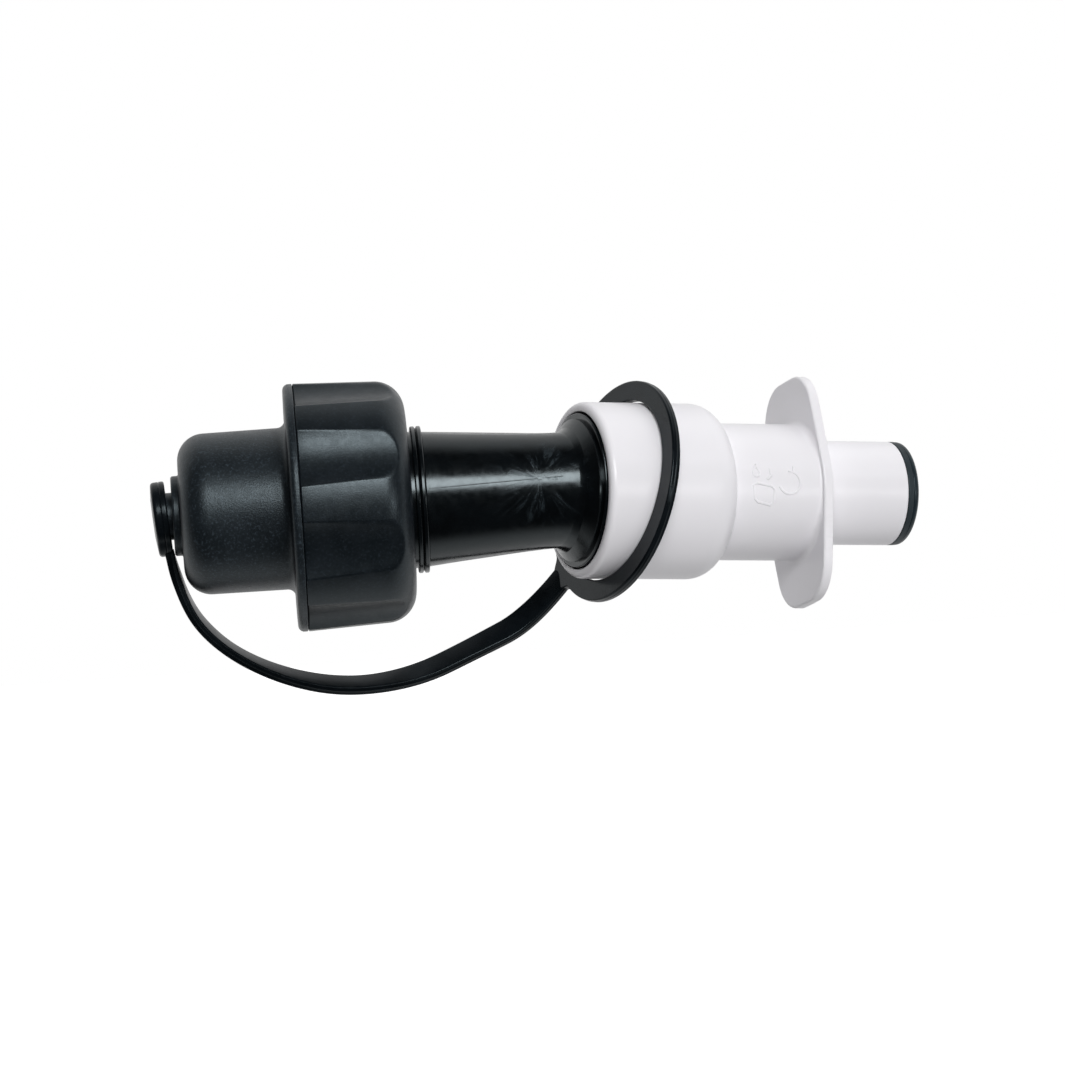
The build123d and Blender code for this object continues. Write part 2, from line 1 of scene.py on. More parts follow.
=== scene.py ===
import bmesh
import bpy
import json
import math
from mathutils import Matrix, Vector
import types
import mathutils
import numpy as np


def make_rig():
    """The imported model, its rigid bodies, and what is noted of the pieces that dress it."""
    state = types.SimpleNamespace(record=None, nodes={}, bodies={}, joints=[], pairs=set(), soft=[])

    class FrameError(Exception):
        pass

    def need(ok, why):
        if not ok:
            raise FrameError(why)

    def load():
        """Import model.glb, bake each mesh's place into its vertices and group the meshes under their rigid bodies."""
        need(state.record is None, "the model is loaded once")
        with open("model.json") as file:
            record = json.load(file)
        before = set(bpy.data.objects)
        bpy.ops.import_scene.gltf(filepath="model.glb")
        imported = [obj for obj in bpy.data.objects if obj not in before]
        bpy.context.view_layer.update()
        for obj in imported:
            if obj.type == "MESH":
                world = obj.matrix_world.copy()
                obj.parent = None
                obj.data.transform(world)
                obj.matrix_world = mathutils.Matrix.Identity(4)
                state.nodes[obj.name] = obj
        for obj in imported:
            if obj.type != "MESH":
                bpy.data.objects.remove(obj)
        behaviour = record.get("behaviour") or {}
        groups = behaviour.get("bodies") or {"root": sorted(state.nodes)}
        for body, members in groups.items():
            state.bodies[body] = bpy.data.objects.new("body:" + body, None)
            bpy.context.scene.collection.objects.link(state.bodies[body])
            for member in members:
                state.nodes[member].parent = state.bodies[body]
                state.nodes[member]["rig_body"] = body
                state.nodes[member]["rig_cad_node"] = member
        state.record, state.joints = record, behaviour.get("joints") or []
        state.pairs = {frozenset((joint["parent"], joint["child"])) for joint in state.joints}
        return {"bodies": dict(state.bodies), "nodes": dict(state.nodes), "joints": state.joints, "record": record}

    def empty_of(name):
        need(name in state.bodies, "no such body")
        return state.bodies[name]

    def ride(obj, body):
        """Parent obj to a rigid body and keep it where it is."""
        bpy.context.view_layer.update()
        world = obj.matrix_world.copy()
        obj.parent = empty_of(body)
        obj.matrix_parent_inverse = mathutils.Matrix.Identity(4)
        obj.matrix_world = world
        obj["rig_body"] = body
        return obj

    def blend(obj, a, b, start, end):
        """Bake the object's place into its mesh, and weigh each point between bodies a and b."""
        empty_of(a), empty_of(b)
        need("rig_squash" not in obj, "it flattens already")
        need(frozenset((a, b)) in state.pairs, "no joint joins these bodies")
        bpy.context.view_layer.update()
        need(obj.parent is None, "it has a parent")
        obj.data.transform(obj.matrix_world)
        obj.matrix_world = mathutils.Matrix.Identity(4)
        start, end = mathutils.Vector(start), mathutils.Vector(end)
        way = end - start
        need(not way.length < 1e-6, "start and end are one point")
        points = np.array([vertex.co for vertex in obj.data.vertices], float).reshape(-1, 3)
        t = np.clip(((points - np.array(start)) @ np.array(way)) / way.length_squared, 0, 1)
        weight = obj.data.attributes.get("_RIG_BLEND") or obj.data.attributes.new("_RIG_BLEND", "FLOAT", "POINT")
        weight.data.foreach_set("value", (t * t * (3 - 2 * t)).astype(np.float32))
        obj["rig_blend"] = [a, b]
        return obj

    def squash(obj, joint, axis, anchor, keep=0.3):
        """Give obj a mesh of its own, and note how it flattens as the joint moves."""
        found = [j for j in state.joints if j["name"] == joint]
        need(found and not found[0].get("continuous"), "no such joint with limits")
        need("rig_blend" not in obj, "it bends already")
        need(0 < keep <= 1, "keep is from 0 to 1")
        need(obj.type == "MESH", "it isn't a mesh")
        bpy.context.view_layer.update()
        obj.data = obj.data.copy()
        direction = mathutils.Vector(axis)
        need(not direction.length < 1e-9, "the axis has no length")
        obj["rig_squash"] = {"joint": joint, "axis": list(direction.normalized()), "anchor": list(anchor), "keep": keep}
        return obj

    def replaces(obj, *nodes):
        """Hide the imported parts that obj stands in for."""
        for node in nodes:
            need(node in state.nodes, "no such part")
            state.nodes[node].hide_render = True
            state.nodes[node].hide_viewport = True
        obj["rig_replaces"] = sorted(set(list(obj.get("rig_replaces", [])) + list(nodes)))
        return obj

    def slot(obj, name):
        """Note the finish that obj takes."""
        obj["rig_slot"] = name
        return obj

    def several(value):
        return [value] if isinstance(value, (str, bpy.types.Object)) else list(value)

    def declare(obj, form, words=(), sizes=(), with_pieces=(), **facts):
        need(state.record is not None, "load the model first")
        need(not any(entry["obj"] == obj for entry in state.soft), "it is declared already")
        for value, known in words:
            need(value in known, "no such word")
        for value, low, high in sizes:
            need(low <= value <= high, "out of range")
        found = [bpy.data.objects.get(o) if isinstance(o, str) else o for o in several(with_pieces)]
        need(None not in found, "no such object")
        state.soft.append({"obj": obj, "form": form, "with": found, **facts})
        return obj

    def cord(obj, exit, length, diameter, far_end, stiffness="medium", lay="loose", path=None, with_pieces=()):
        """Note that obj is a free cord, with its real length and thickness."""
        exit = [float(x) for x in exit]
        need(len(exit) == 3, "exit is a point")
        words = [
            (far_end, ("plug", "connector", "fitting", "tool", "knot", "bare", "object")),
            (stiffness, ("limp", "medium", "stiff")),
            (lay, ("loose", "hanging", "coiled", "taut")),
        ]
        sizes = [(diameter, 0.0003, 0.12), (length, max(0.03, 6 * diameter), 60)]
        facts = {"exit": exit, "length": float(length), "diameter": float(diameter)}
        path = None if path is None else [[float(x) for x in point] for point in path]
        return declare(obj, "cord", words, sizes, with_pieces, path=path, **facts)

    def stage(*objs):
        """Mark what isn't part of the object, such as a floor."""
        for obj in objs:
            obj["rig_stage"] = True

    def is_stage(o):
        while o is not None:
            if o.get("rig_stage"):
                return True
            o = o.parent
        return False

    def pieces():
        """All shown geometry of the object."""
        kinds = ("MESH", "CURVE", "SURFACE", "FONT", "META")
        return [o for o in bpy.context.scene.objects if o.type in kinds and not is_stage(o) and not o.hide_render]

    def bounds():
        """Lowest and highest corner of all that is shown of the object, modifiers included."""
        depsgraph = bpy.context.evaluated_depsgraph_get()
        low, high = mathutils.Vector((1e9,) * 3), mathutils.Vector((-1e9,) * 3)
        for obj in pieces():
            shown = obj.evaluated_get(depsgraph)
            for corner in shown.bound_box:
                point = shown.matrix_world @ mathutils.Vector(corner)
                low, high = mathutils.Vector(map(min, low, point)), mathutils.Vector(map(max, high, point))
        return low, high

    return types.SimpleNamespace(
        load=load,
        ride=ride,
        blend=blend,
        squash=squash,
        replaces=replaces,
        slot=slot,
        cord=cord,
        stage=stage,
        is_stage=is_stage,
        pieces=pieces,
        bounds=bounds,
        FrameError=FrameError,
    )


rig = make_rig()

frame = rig.load()
cad_low, cad_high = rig.bounds()

# Looks of the no-spill fuel-can spout. Metres, in the CAD model's frame: the origin is where the
# nut's can thread begins, +X runs along the nut and +Z is up. Lengths are in millimetres, and become
# metres where a mesh is made, except for the lengths that say metres. The CAD nodes stay where they
# are; pieces with softer edges, threads and moulding marks stand for some of them.
MM = 0.001
JOINTS = {joint["name"]: joint for joint in frame["joints"]}

# ---- Sizes shared with the CAD part ---------------------------------------------------------------
NUT_MOUTH = -7.0
NUT_FAR = 20.5
NUT_RADIUS = 31.0
NUT_FAR_RADIUS = 30.25
NUT_SHOULDER = 7.5
NUT_NECK_HOLE = 17.5
NUT_MOUTH_BORE = 24.4
NUT_SEAT_BORE = 23.6
NUT_SEAT = (13.0, 17.6)  # x where the widened seat of the neck's flange starts and ends
FLUTES = 8
FLUTE_RADIUS = 21.0
FLUTE_DEPTH = 2.4
THREAD_RADIUS = 22.9
THREAD_SPAN = (1.0, 12.0)
THREAD_PITCH = 4.0
THREAD_WIDTH = 1.8
THREAD_HEIGHT = 0.9

RING_CENTRE_S = 10.6
RING_DROP = 0.15
RING_NORMAL = Vector((0.86, 0.43, -0.278)).normalized()
RING_TAB_DIRECTION = Vector((-0.484, 0.509, -0.712))
RING_RADIUS = 28.35
RING_HOLE = 23.3
RING_HALF = 1.15
RING_TAB_END = 30.8

EYELET_X = -42.15  # the middle of the post's head
EYELET_TILT = math.radians(-4)
EYELET_RADIUS = 8.8
EYELET_HOLE = 6.3
EYELET_LIP_END = 2.15
EYELET_RIM = -1.3
EYELET_TIP = -1.75
EYELET_CAVITY = 0.95
EYELET_CAVITY_RADIUS = 7.7

STRAP_WIDTH = 6.4
STRAP_THICKNESS = 2.4
STRAP_ROUTE = [
    (-40.4, 0.0, -8.4),
    (-38.2, 0.0, -21.0),
    (-29.6, 0.8, -33.0),
    (-15.3, 3.6, -41.6),
    (1.7, 8.0, -46.0),
    (19.3, 13.2, -44.6),
    (35.2, 17.5, -38.2),
    (49.6, 20.0, -31.9),
    (58.4, 18.4, -22.1),
]
STRAP_SPLIT_RUN = 4

NECK_CONE = ((24.2, 16.9), (53.0, 14.6), (68.5, 14.2))  # (x, r)
ELBOW_ROLL = -12.0  # degrees
ELBOW_BEND = 20.0

COLLAR_RADIUS = 22.15
COLLAR_BORE = 19.75
COLLAR_END = 29.4
SHOULDER_ROUND = 7.0
CAVITY_END = 30.6
LEDGE_RADIUS = 16.9
MID_RADIUS = 17.3
MID_BORE = 15.2
MID_BORE_START = 35.5
MID_BORE_END = 60.1
WING_START = 59.6
WING_END = 62.1
WING_CENTRE_RADIUS = 18.5
WING_CORNER_RADIUS = 10.5
WING_CORNER_ACROSS = 3.9
WING_CORNER_ALONG = 18.5
TIP_RADIUS = 13.2
TIP_BORE = 11.3
TIP_END = 85.6

SPRING_SPAN = (4.8, 29.5)  # from the guide to the seat, along the tip
SPRING_RADIUS = 17.4
SPRING_WIRE = 1.8
SPRING_TURNS = 5.5
PRESS_TRAVEL = 8.0

# ---- Camera -------------------------------------------------------------------------------------
CAMERA_AZIMUTH = -2.7  # degrees from -Y towards +X
CAMERA_ELEVATION = 0.2
CAMERA_ROLL = 3.9
CAMERA_DISTANCE = 1.6  # metres
CAMERA_LENS = 216.0
CAMERA_SENSOR = 36.0
CAMERA_CLIP_END = 50.0  # metres
CAMERA_TARGET = Vector((50.4, -2.7, -10.4)) * MM


def make_camera():
    """The camera, level with the spout and turned a little about its own view axis."""
    azimuth, elevation, roll = map(math.radians, (CAMERA_AZIMUTH, CAMERA_ELEVATION, CAMERA_ROLL))
    back = Vector((math.sin(azimuth), -math.cos(azimuth), 0)) * math.cos(elevation)
    back.z = math.sin(elevation)
    camera = bpy.data.objects.new("camera", bpy.data.cameras.new("camera"))
    camera.data.lens = CAMERA_LENS
    camera.data.sensor_width = CAMERA_SENSOR
    camera.data.clip_end = CAMERA_CLIP_END
    camera.rotation_mode = "QUATERNION"
    level = (-back).to_track_quat("-Z", "Y").to_matrix()
    camera.rotation_quaternion = (level @ Matrix.Rotation(-roll, 3, "Z")).to_quaternion()
    camera.location = CAMERA_TARGET + back * CAMERA_DISTANCE
    bpy.context.scene.collection.objects.link(camera)
    bpy.context.scene.camera = camera


make_camera()


# ---- Materials ------------------------------------------------------------------------------------
RANGE_SOCKETS = ("From Min", "From Max", "To Min", "To Max")


class Nodes:
    """A short way to write a material's node tree."""

    def __init__(self, name):
        self.material = bpy.data.materials.new(name)
        self.material.use_nodes = True
        self.tree = self.material.node_tree
        self.shader = self.tree.nodes["Principled BSDF"]
        self.place = self.tree.nodes.new("ShaderNodeTexCoord").outputs["Object"]

    def link(self, source, target):
        self.tree.links.new(source, target)

    def noise(self, size, detail=2.0, roughness=0.5, distortion=0.0):
        """Noise whose blobs are about size across, from 0 to 1."""
        node = self.tree.nodes.new("ShaderNodeTexNoise")
        node.inputs["Scale"].default_value = 1 / size
        node.inputs["Detail"].default_value = detail
        node.inputs["Roughness"].default_value = roughness
        node.inputs["Distortion"].default_value = distortion
        self.link(self.place, node.inputs["Vector"])
        return node.outputs["Fac"]

    def spread(self, source, low, high, to_low=0.0, to_high=1.0):
        """Source's values from low to high, spread over to_low to to_high."""
        node = self.tree.nodes.new("ShaderNodeMapRange")
        node.interpolation_type = "SMOOTHSTEP"
        for name, value in zip(RANGE_SOCKETS, (low, high, to_low, to_high)):
            node.inputs[name].default_value = value
        self.link(source, node.inputs["Value"])
        return node.outputs["Result"]

    def mix(self, share, low, high):
        """A colour between low and high."""
        node = self.tree.nodes.new("ShaderNodeMix")
        node.data_type = "RGBA"
        self.link(share, node.inputs["Factor"])
        for socket, value in ((node.inputs["A"], low), (node.inputs["B"], high)):
            if isinstance(value, tuple):
                socket.default_value = (*value, 1)
            else:
                self.link(value, socket)
        return node.outputs["Result"]

    def calculate(self, kind, operation, *sources):
        """A node of a kind, such as a vector math node, that does operation on the sources."""
        node = self.tree.nodes.new(kind)
        node.operation = operation
        for source, socket in zip(sources, node.inputs):
            self.link(source, socket)
        return node

    def product(self, first, second):
        return self.calculate("ShaderNodeMath", "MULTIPLY", first, second).outputs["Value"]

    def blend_values(self, share, low, high):
        """A number from low, a node's output, towards high."""
        node = self.tree.nodes.new("ShaderNodeMix")
        self.link(share, node.inputs["Factor"])
        self.link(low, node.inputs["A"])
        node.inputs["B"].default_value = high
        return node.outputs["Result"]

    def bump(self, height, distance, under=None):
        """The surface's normal, raised by up to distance where height is 1."""
        node = self.tree.nodes.new("ShaderNodeBump")
        node.inputs["Strength"].default_value = 1.0
        node.inputs["Distance"].default_value = distance
        self.link(height, node.inputs["Height"])
        if under is not None:
            self.link(under, node.inputs["Normal"])
        return node.outputs["Normal"]


# Between these values a noise goes over from its low side to its high side
PATCH_RANGE = (0.35, 0.68)
GLOSS_RANGE = (0.3, 0.7)
GRAIN_RANGE = (0.5, 0.72)
PATCH_SIZE = 9.0
PATCH_DETAIL = 4.0
GLOSS_FINENESS = 3.6  # a colour patch's size over a gloss patch's
GLINT_SCALE = 1.6  # the size of the painted glints on the grain over the grain's
GLINT_LIFT = 3.0  # how many times the light colour the painted glints on the grain are
COLD = (0.78, 0.93, 1.0)  # the tint of the black plastics' highlights
NEUTRAL = (1.0, 1.0, 1.0)


def mottled(nodes, patch, detail, dark, light):
    """A colour that wanders between dark and light."""
    mottle = nodes.noise(patch * MM, detail, roughness=0.6)
    return nodes.mix(nodes.spread(mottle, *PATCH_RANGE), dark, light)


def uneven_gloss(nodes, patch, detail, rough):
    """A roughness that wanders between rough's two values, in smaller patches than the colour's."""
    gloss = nodes.noise(patch / GLOSS_FINENESS * MM, detail + 1, roughness=0.65, distortion=0.6)
    return nodes.spread(gloss, *GLOSS_RANGE, *rough)


def slow_waves(nodes, size, height):
    """The normal of a surface that rises and falls a little, as a moulded one does."""
    swell = nodes.noise(size * MM, detail=2.0, roughness=0.4, distortion=1.2)
    return nodes.bump(swell, height * MM)


def moulded(
    name,
    dark,
    light,
    rough,
    grain=0.35,
    grain_height=0.006,
    flow=0.0,
    flow_height=0.0,
    painted_glint=0.0,
    tint=COLD,
    shine=0.5,
    patch=PATCH_SIZE,
    detail=PATCH_DETAIL,
):
    """Moulded plastic: mottled colour, uneven gloss, a fine grain, slow waves of the surface and painted glints on the
    grain.
    """
    nodes = Nodes(name)
    colour = mottled(nodes, patch, detail, dark, light)
    # painted highlight: pale spots stand for light glinting on the grain; they are not a colour of the plastic
    if painted_glint:
        glint_spots = nodes.noise(GLINT_SCALE * grain * MM, detail=3.0, roughness=0.6)
        share = nodes.spread(glint_spots, *GRAIN_RANGE, 0.0, painted_glint)
        colour = nodes.mix(share, colour, tuple(GLINT_LIFT * channel for channel in light))
    nodes.link(colour, nodes.shader.inputs["Base Color"])
    nodes.link(uneven_gloss(nodes, patch, detail, rough), nodes.shader.inputs["Roughness"])
    waves = slow_waves(nodes, flow, flow_height) if flow_height else None
    grains = nodes.noise(grain * MM, detail=3.0, roughness=0.55)
    nodes.link(nodes.bump(grains, grain_height * MM, waves), nodes.shader.inputs["Normal"])
    nodes.shader.inputs["Specular Tint"].default_value = (*tint, 1)
    nodes.shader.inputs["Specular IOR Level"].default_value = shine
    return nodes.material


STEEL_STREAK = 0.5
STEEL_STREAK_HEIGHT = 0.008
STEEL_DARK = (0.42, 0.42, 0.43)
STEEL_LIGHT = (0.62, 0.62, 0.63)
STEEL_ROUGH = (0.24, 0.4)


def drawn_steel(name):
    """Spring wire, with fine streaks from drawing."""
    nodes = Nodes(name)
    streak = nodes.noise(STEEL_STREAK * MM, detail=4.0, roughness=0.6, distortion=0.4)
    nodes.link(nodes.mix(streak, STEEL_DARK, STEEL_LIGHT), nodes.shader.inputs["Base Color"])
    nodes.link(nodes.spread(streak, *GLOSS_RANGE, *STEEL_ROUGH), nodes.shader.inputs["Roughness"])
    nodes.link(nodes.bump(streak, STEEL_STREAK_HEIGHT * MM), nodes.shader.inputs["Normal"])
    nodes.shader.inputs["Metallic"].default_value = 1.0
    return nodes.material


GATE_PLACE = (52.6, -14.3, 3.2)  # where the neck was filled with plastic
NECK_DARK = (0.0008, 0.0012, 0.0016)
NECK_LIGHT = (0.002, 0.003, 0.004)
NECK_TINT = (0.82, 0.95, 1.0)
NECK_ROUGH = (0.15, 0.25)
NECK_WAVE_HEIGHT = 0.05
WISP_COLOUR = (0.021, 0.029, 0.035)
WISP_ROUGH = 0.42
WISP_HEIGHT = 0.008
WISP_REACH = (2.0, 17.0)  # the wisps fade out between these distances from the gate
WISP_RAYS = (("Scale", 5.5), ("Detail", 6.0), ("Roughness", 0.62), ("Distortion", 0.5))
WISP_RAY_RANGE = (0.47, 0.66)
WISP_BREAKS = 5.0
WISP_BREAK_RANGE = (0.36, 0.62)


def gate_wisps(nodes):
    """Rays away from the moulding gate, broken up and fading, from 0 to 1."""
    away = nodes.calculate("ShaderNodeVectorMath", "SUBTRACT", nodes.place)
    away.inputs[1].default_value = Vector(GATE_PLACE) * MM
    length = nodes.calculate("ShaderNodeVectorMath", "LENGTH", away.outputs["Vector"])
    heading = nodes.calculate("ShaderNodeVectorMath", "NORMALIZE", away.outputs["Vector"])
    rays = nodes.tree.nodes.new("ShaderNodeTexNoise")
    for socket, value in WISP_RAYS:
        rays.inputs[socket].default_value = value
    nodes.link(heading.outputs["Vector"], rays.inputs["Vector"])
    near = nodes.spread(length.outputs["Value"], *(reach * MM for reach in WISP_REACH), 1.0, 0.0)
    breaks = nodes.noise(WISP_BREAKS * MM, detail=4.0, roughness=0.7, distortion=1.0)
    broken = nodes.spread(breaks, *WISP_BREAK_RANGE)
    ray = nodes.spread(rays.outputs["Fac"], *WISP_RAY_RANGE)
    return nodes.product(nodes.product(ray, near), broken)


def neck_plastic(name):
    """Glossy black plastic, with pale wisps where it flowed away from the moulding gate."""
    nodes = Nodes(name)
    wisp = gate_wisps(nodes)
    base = mottled(nodes, PATCH_SIZE, PATCH_DETAIL, NECK_DARK, NECK_LIGHT)
    nodes.link(nodes.mix(wisp, base, WISP_COLOUR), nodes.shader.inputs["Base Color"])
    gloss = uneven_gloss(nodes, PATCH_SIZE, PATCH_DETAIL, NECK_ROUGH)
    nodes.link(nodes.blend_values(wisp, gloss, WISP_ROUGH), nodes.shader.inputs["Roughness"])
    waves = slow_waves(nodes, PATCH_SIZE, NECK_WAVE_HEIGHT)
    nodes.link(nodes.bump(wisp, WISP_HEIGHT * MM, waves), nodes.shader.inputs["Normal"])
    nodes.shader.inputs["Specular Tint"].default_value = (*NECK_TINT, 1)
    return nodes.material


MOULDED = {
    "cap_black": dict(
        dark=(0.006, 0.0085, 0.011),
        light=(0.010, 0.0135, 0.017),
        rough=(0.35, 0.41),
        grain=0.36,
        grain_height=0.06,
        # painted glints on the grain, at full strength
        painted_glint=1.0,
    ),
    "nut_black": dict(
        dark=(0.0035, 0.0055, 0.0075),
        light=(0.0065, 0.009, 0.012),
        rough=(0.31, 0.38),
        grain=0.4,
        grain_height=0.02,
        flow=7.0,
        flow_height=0.03,
        # painted glints on the grain, at half strength
        painted_glint=0.5,
    ),
    "tether_black": dict(
        dark=(0.002, 0.003, 0.004),
        light=(0.005, 0.007, 0.009),
        rough=(0.2, 0.27),
        grain=0.4,
        grain_height=0.001,
        flow=9.0,
        flow_height=0.01,
        shine=0.22,
    ),
    "valve_black": dict(
        dark=(0.007, 0.012, 0.016),
        light=(0.013, 0.021, 0.027),
        rough=(0.285, 0.35),
        grain=0.3,
        grain_height=0.003,
    ),
    "valve_seal_rubber": dict(
        dark=(0.012, 0.018, 0.022),
        light=(0.022, 0.030, 0.035),
        rough=(0.42, 0.55),
        grain=0.3,
        grain_height=0.01,
    ),
    "seal_rubber": dict(
        dark=(0.010, 0.010, 0.010),
        light=(0.018, 0.018, 0.018),
        rough=(0.45, 0.6),
        grain=0.3,
        grain_height=0.01,
    ),
    "inner_plastic": dict(
        dark=(0.52, 0.52, 0.50),
        light=(0.62, 0.62, 0.60),
        rough=(0.30, 0.42),
        grain=0.3,
        grain_height=0.004,
    ),
    "sleeve_white": dict(
        dark=(0.842, 0.83, 0.862),
        light=(0.85, 0.838, 0.87),
        rough=(0.285, 0.33),
        grain=1.2,
        grain_height=0.0015,
        flow=16.0,
        flow_height=0.01,
        tint=NEUTRAL,
        patch=16.0,
        detail=2.0,
    ),
}
MATERIALS = {name: moulded(name, **finish) for name, finish in MOULDED.items()}
MATERIALS["neck_black"] = neck_plastic("neck_black")
MATERIALS["spring_steel"] = drawn_steel("spring_steel")

for row in frame["record"]["subparts"]:
    node = frame["nodes"][row["node"]]
    node.data.materials.clear()
    node.data.materials.append(MATERIALS[row["material_slot"]])


# ---- Mesh helpers ---------------------------------------------------------------------------------
FULL_TURN = 2 * math.pi
ARC_STEPS = 6
SUPPORT = 0.25  # how far from an arc its supporting points lie, where the run is long enough
SUPPORT_SHARE = 0.2  # and otherwise this share of the run
SHARP_ANGLE = math.radians(32)
MERGE_DISTANCE = 0.0005
STROKE_FOOT = 0.15


def finish_piece(name, vertices, faces, slot, body, replaced=()):
    """A piece from points in millimetres: merged, outward-facing, smooth, with its slot's material."""
    mesh = bpy.data.meshes.new(name)
    mesh.from_pydata([Vector(vertex) * MM for vertex in vertices], [], faces)
    shape = bmesh.new()
    shape.from_mesh(mesh)
    bmesh.ops.remove_doubles(shape, verts=shape.verts, dist=MERGE_DISTANCE * MM)
    bmesh.ops.recalc_face_normals(shape, faces=shape.faces)
    shape.to_mesh(mesh)
    shape.free()
    mesh.shade_smooth()
    mesh.set_sharp_from_angle(angle=SHARP_ANGLE)
    mesh.materials.append(MATERIALS[slot])
    piece = bpy.data.objects.new(name, mesh)
    bpy.context.scene.collection.objects.link(piece)
    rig.slot(piece, slot)
    if body:
        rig.ride(piece, body)
    if replaced:
        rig.replaces(piece, *replaced)
    return piece


def rounded(corners):
    """The closed outline through corners (x, r) or (x, r, rounding), with arcs and their supports."""
    points = [Vector(corner[:2]) for corner in corners]
    outline = []
    for index, corner in enumerate(corners):
        here = points[index]
        arriving = here - points[index - 1]
        leaving = points[(index + 1) % len(points)] - here
        rounding = corner[2] if len(corner) > 2 else 0
        if not rounding:
            outline.append(here)
            continue
        turn = -arriving.angle_signed(leaving)
        reach = rounding * abs(math.tan(turn / 2))
        runs = [max(run.length - reach, 0) for run in (arriving, leaving)]
        before, after = [min(SUPPORT, SUPPORT_SHARE * run) for run in runs]
        into, out = arriving.normalized(), leaving.normalized()
        start = here - into * reach
        side = Vector((-into.y, into.x)) * math.copysign(rounding, turn)
        centre, spoke = start + side, -side
        outline.append(start - into * before)
        for step in range(ARC_STEPS + 1):
            angle = turn * step / ARC_STEPS
            across = spoke.x * math.cos(angle) - spoke.y * math.sin(angle)
            up = spoke.x * math.sin(angle) + spoke.y * math.cos(angle)
            outline.append(centre + Vector((across, up)))
        outline.append(here + out * (reach + after))
    return outline


def even_angles(count):
    return [FULL_TURN * index / count for index in range(count)]


def skin(count, rings, closed):
    """Faces between neighbouring rings, each of count points."""
    faces = []
    for ring in range(rings if closed else rings - 1):
        beside = (ring + 1) % rings
        for index in range(count):
            after = (index + 1) % count
            faces.append((
                ring * count + index,
                ring * count + after,
                beside * count + after,
                beside * count + index,
            ))
    return faces


def turned(place, outline_at, angles):
    """Points and faces of a closed outline swept about the local X axis; it may change with the angle."""
    vertices = []
    for angle in angles:
        outline = outline_at(angle)
        for x, r in outline:
            vertices.append(place @ Vector((x, r * math.cos(angle), r * math.sin(angle))))
    return vertices, skin(len(outline), len(angles), True)


def swept(centres, frames, section, closed=False):
    """Points and faces of a section (sideways, outward) carried along centres."""
    vertices = []
    for centre, (side, out) in zip(centres, frames):
        vertices += [centre + side * across + out * up for across, up in section]
    count, rings = len(section), len(centres)
    faces = skin(count, rings, closed)
    if not closed:
        faces.append(tuple(range(count)))
        faces.append(tuple(range((rings - 1) * count, rings * count)))
    return vertices, faces


def wrapped_stroke(place, radius_at, route, width, height, closed=False):
    """A raised line on a round surface, along points (x, angle). Its foot is sunk in the surface."""
    centres, outward = [], []
    for x, angle in route:
        out = Vector((0, math.cos(angle), math.sin(angle)))
        centres.append(place @ (Vector((x, 0, 0)) + out * radius_at(x)))
        outward.append(place.to_3x3() @ out)
    frames = []
    last = len(centres) - 1
    for index, out in enumerate(outward):
        before = centres[index - 1] if closed or index else centres[0]
        after = centres[(index + 1) % len(centres)] if closed or index < last else centres[last]
        along = (after - before).normalized()
        frames.append((along.cross(out).normalized(), out))
    half = width / 2
    top = half - min(abs(height), half / 2)
    foot = -math.copysign(STROKE_FOOT, height)
    section = [(-half, foot), (-half, 0), (-top, height), (top, height), (half, 0), (half, foot)]
    return swept(centres, frames, section, closed)


# The tip's frame: its origin is the elbow and its X runs along the tip's axis
tip_axis = Vector(JOINTS["ring_turn"]["axis"]).normalized()
elbow = Vector(JOINTS["ring_turn"]["pos_m"]) / MM - tip_axis * RING_CENTRE_S
elbow_roll = Matrix.Rotation(math.radians(ELBOW_ROLL), 4, "X")
elbow_bend = Matrix.Rotation(math.radians(ELBOW_BEND), 4, "Z")
TIP_FRAME = Matrix.Translation(elbow) @ elbow_roll @ elbow_bend
NECK_FRAME = Matrix.Identity(4)


# ---- Tether strap: two halves of one moulded strap, each a free cord ---------------------------------
# Share of the strap's length, and the twist there in degrees
STRAP_TWIST = [(0.0, 0), (0.06, 6), (0.2, 14), (0.5, 29), (0.72, 42), (0.88, 50), (1.0, 42)]
STRAP_EDGE_ROUND = 0.5
STRAP_LINE = 0.12  # half the width of the parting line along each narrow edge
STRAP_LINE_HEIGHT = 0.07
SPLINE_RESOLUTION = 24


def spline_points(name, route):
    """Points along the smooth curve that the route's points pull on."""
    curve = bpy.data.curves.new(name, "CURVE")
    curve.dimensions = "3D"
    curve.resolution_u = SPLINE_RESOLUTION
    spline = curve.splines.new("NURBS")
    spline.points.add(len(route) - 1)
    for point, place in zip(spline.points, route):
        point.co = (*place, 1)
    spline.order_u = 3
    spline.use_endpoint_u = True
    holder = bpy.data.objects.new(name, curve)
    mesh = bpy.data.meshes.new_from_object(holder)
    points = [vertex.co.copy() for vertex in mesh.vertices]
    bpy.data.meshes.remove(mesh)
    bpy.data.objects.remove(holder)
    return points


def strap_section():
    """The strap's section (across, towards the loop's inside), with a fine line on each narrow edge."""
    half, thick = STRAP_WIDTH / 2, STRAP_THICKNESS / 2
    quarter = []
    for step in range(ARC_STEPS + 1):
        angle = math.pi / 2 * step / ARC_STEPS
        across = half - STRAP_EDGE_ROUND * (1 - math.cos(angle))
        quarter.append((across, thick - STRAP_EDGE_ROUND * (1 - math.sin(angle))))
    right = [(half, STRAP_LINE)] + quarter
    line = [(half + STRAP_LINE_HEIGHT, 0)]
    upper = right + [(-across, up) for across, up in reversed(right)]
    lower = [(-across, -up) for across, up in upper]
    return line + upper + [(-half - STRAP_LINE_HEIGHT, 0)] + lower


def smooth_step(value):
    value = min(max(value, 0), 1)
    return value * value * (3 - 2 * value)


def twist_at(share):
    for (low, before), (high, after) in zip(STRAP_TWIST, STRAP_TWIST[1:]):
        if share <= high:
            part = smooth_step((share - low) / (high - low))
            return math.radians(before + (after - before) * part)
    return math.radians(STRAP_TWIST[-1][1])


